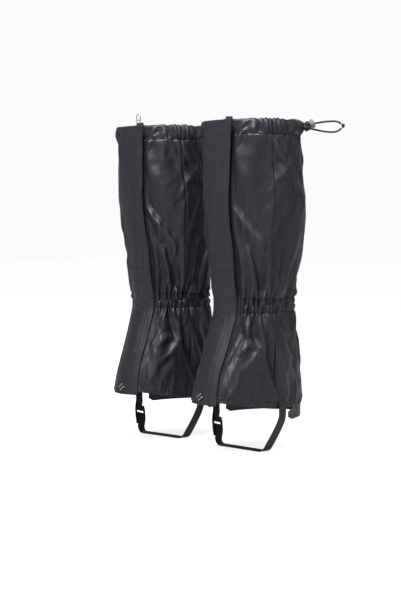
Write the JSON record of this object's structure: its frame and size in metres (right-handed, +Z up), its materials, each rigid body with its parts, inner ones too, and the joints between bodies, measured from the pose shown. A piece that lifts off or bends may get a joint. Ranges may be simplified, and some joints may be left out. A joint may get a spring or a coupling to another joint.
{
  "type": "pair of gaiters",
  "caption": "Pair of tall walking gaiters: tapered fabric legs with front zip under a storm flap, top drawcord with cord locks, ankle elastic, lace hooks and instep straps.",
  "frame": {"origin": "on the ground plane under the straps, midway between the two gaiters", "axes": "+Z up along the legs, -Y towards the toes, +X to the wearer's left"},
  "size_m": [0.3458, 0.2029, 0.4735],
  "materials": {
    "cloth": "coated nylon cloth, slight satin sheen, charcoal with a violet tint",
    "flap": "coated nylon cloth, doubled and edge stitched",
    "elastic": "knitted elastic, matt",
    "fastener": "hook-and-loop tape, matt black",
    "webbing": "woven polyester webbing, matt",
    "zip": "coil zip on woven tape, dark",
    "slider": "enamelled die-cast zinc, dark grey",
    "steel": "pressed and drawn steel, bright",
    "dark_plastic": "moulded acetal, near black, matt",
    "grey_plastic": "moulded acetal, mid grey, matt",
    "cord": "braided polyester cord, dark green-grey"
  },
  "bodies": {
    "gaiters": {"left_back_panel": "cloth", "left_zip_side_panel": "cloth", "left_flap_side_panel": "cloth", "left_top_casing": "cloth", "left_ankle_elastic": "elastic", "left_hem_elastic": "elastic", "left_heel_tab": "cloth", "left_zip_half_inner": "zip", "left_zip_half_outer": "zip", "left_loop_strip": "fastener", "left_lower_flap": "flap", "left_lace_hook": "steel", "left_strap_anchor": "webbing", "left_tab_anchor": "webbing", "left_channel_cord": "cord", "left_cord_strand_upper": "cord", "left_cord_strand_lower": "cord", "left_cord_knot": "cord", "left_lock_body": "dark_plastic", "left_lock_spring": "steel", "right_back_panel": "cloth", "right_zip_side_panel": "cloth", "right_flap_side_panel": "cloth", "right_top_casing": "cloth", "right_ankle_elastic": "elastic", "right_hem_elastic": "elastic", "right_heel_tab": "cloth", "right_zip_half_inner": "zip", "right_zip_half_outer": "zip", "right_loop_strip": "fastener", "right_lower_flap": "flap", "right_lace_hook": "steel", "right_strap_anchor": "webbing", "right_tab_anchor": "webbing", "right_channel_cord": "cord", "right_cord_strand_upper": "cord", "right_cord_strand_lower": "cord", "right_cord_knot": "cord", "right_lock_body": "dark_plastic", "right_lock_spring": "steel"},
    "left_flap": {"left_storm_flap": "flap", "left_hook_strip": "fastener"},
    "left_slider": {"left_zip_slider": "slider"},
    "left_pull": {"left_zip_pull": "steel"},
    "left_plunger": {"left_lock_plunger": "grey_plastic"},
    "left_strap": {"left_instep_strap": "webbing", "left_buckle_tab": "webbing", "left_ladder_buckle": "dark_plastic"},
    "right_flap": {"right_storm_flap": "flap", "right_hook_strip": "fastener"},
    "right_slider": {"right_zip_slider": "slider"},
    "right_pull": {"right_zip_pull": "steel"},
    "right_plunger": {"right_lock_plunger": "grey_plastic"},
    "right_strap": {"right_instep_strap": "webbing", "right_buckle_tab": "webbing", "right_ladder_buckle": "dark_plastic"}
  },
  "joints": [
    {"name": "left_zip_slide", "type": "slide", "parent": "gaiters", "child": "left_slider", "axis": [-0.0455, 0.0454, -0.9979], "range_m": [0, 0.205]},
    {"name": "left_zip_pull", "type": "hinge", "parent": "left_slider", "child": "left_pull", "pos_m": [0.0973, -0.07995, 0.45684], "axis": [-0.9904, -0.1327, 0.0391], "range_deg": [0, 10]},
    {"name": "left_storm_flap", "type": "hinge", "parent": "gaiters", "child": "left_flap", "pos_m": [0.05296, -0.06012, 0.2293], "axis": [0.0166, 0.0601, -0.9981], "range_deg": [0, 100]},
    {"name": "left_lock_plunger", "type": "slide", "parent": "gaiters", "child": "left_plunger", "axis": [-0.6761, -0.6036, -0.4226], "range_m": [0, 0.002], "stiffness_N_per_m": 120, "springref_m": -0.003, "deforming": ["left_lock_spring"]},
    {"name": "left_strap_swing", "type": "hinge", "parent": "gaiters", "child": "left_strap", "pos_m": [0.07834, -0.013, 0.044], "axis": [0.9997, 0.0262, 0], "range_deg": [-40, 70]},
    {"name": "right_zip_slide", "type": "slide", "parent": "gaiters", "child": "right_slider", "axis": [-0.0076, 0.0462, -0.9989], "range_m": [0, 0.205]},
    {"name": "right_zip_pull", "type": "hinge", "parent": "right_slider", "child": "right_pull", "pos_m": [-0.07107, -0.08013, 0.45685], "axis": [0.9844, 0.1759, 0.0006], "range_deg": [-4, 60]},
    {"name": "right_storm_flap", "type": "hinge", "parent": "gaiters", "child": "right_flap", "pos_m": [-0.10715, -0.06163, 0.2293], "axis": [0.0537, 0.0634, -0.9965], "range_deg": [0, 100]},
    {"name": "right_lock_plunger", "type": "slide", "parent": "gaiters", "child": "right_plunger", "axis": [-0.6491, -0.6325, -0.4226], "range_m": [0, 0.002], "stiffness_N_per_m": 120, "springref_m": -0.003, "deforming": ["right_lock_spring"]},
    {"name": "right_strap_swing", "type": "hinge", "parent": "gaiters", "child": "right_strap", "pos_m": [-0.07709, -0.01297, 0.044], "axis": [0.9976, 0.0698, 0], "range_deg": [-40, 70]}
  ]
}
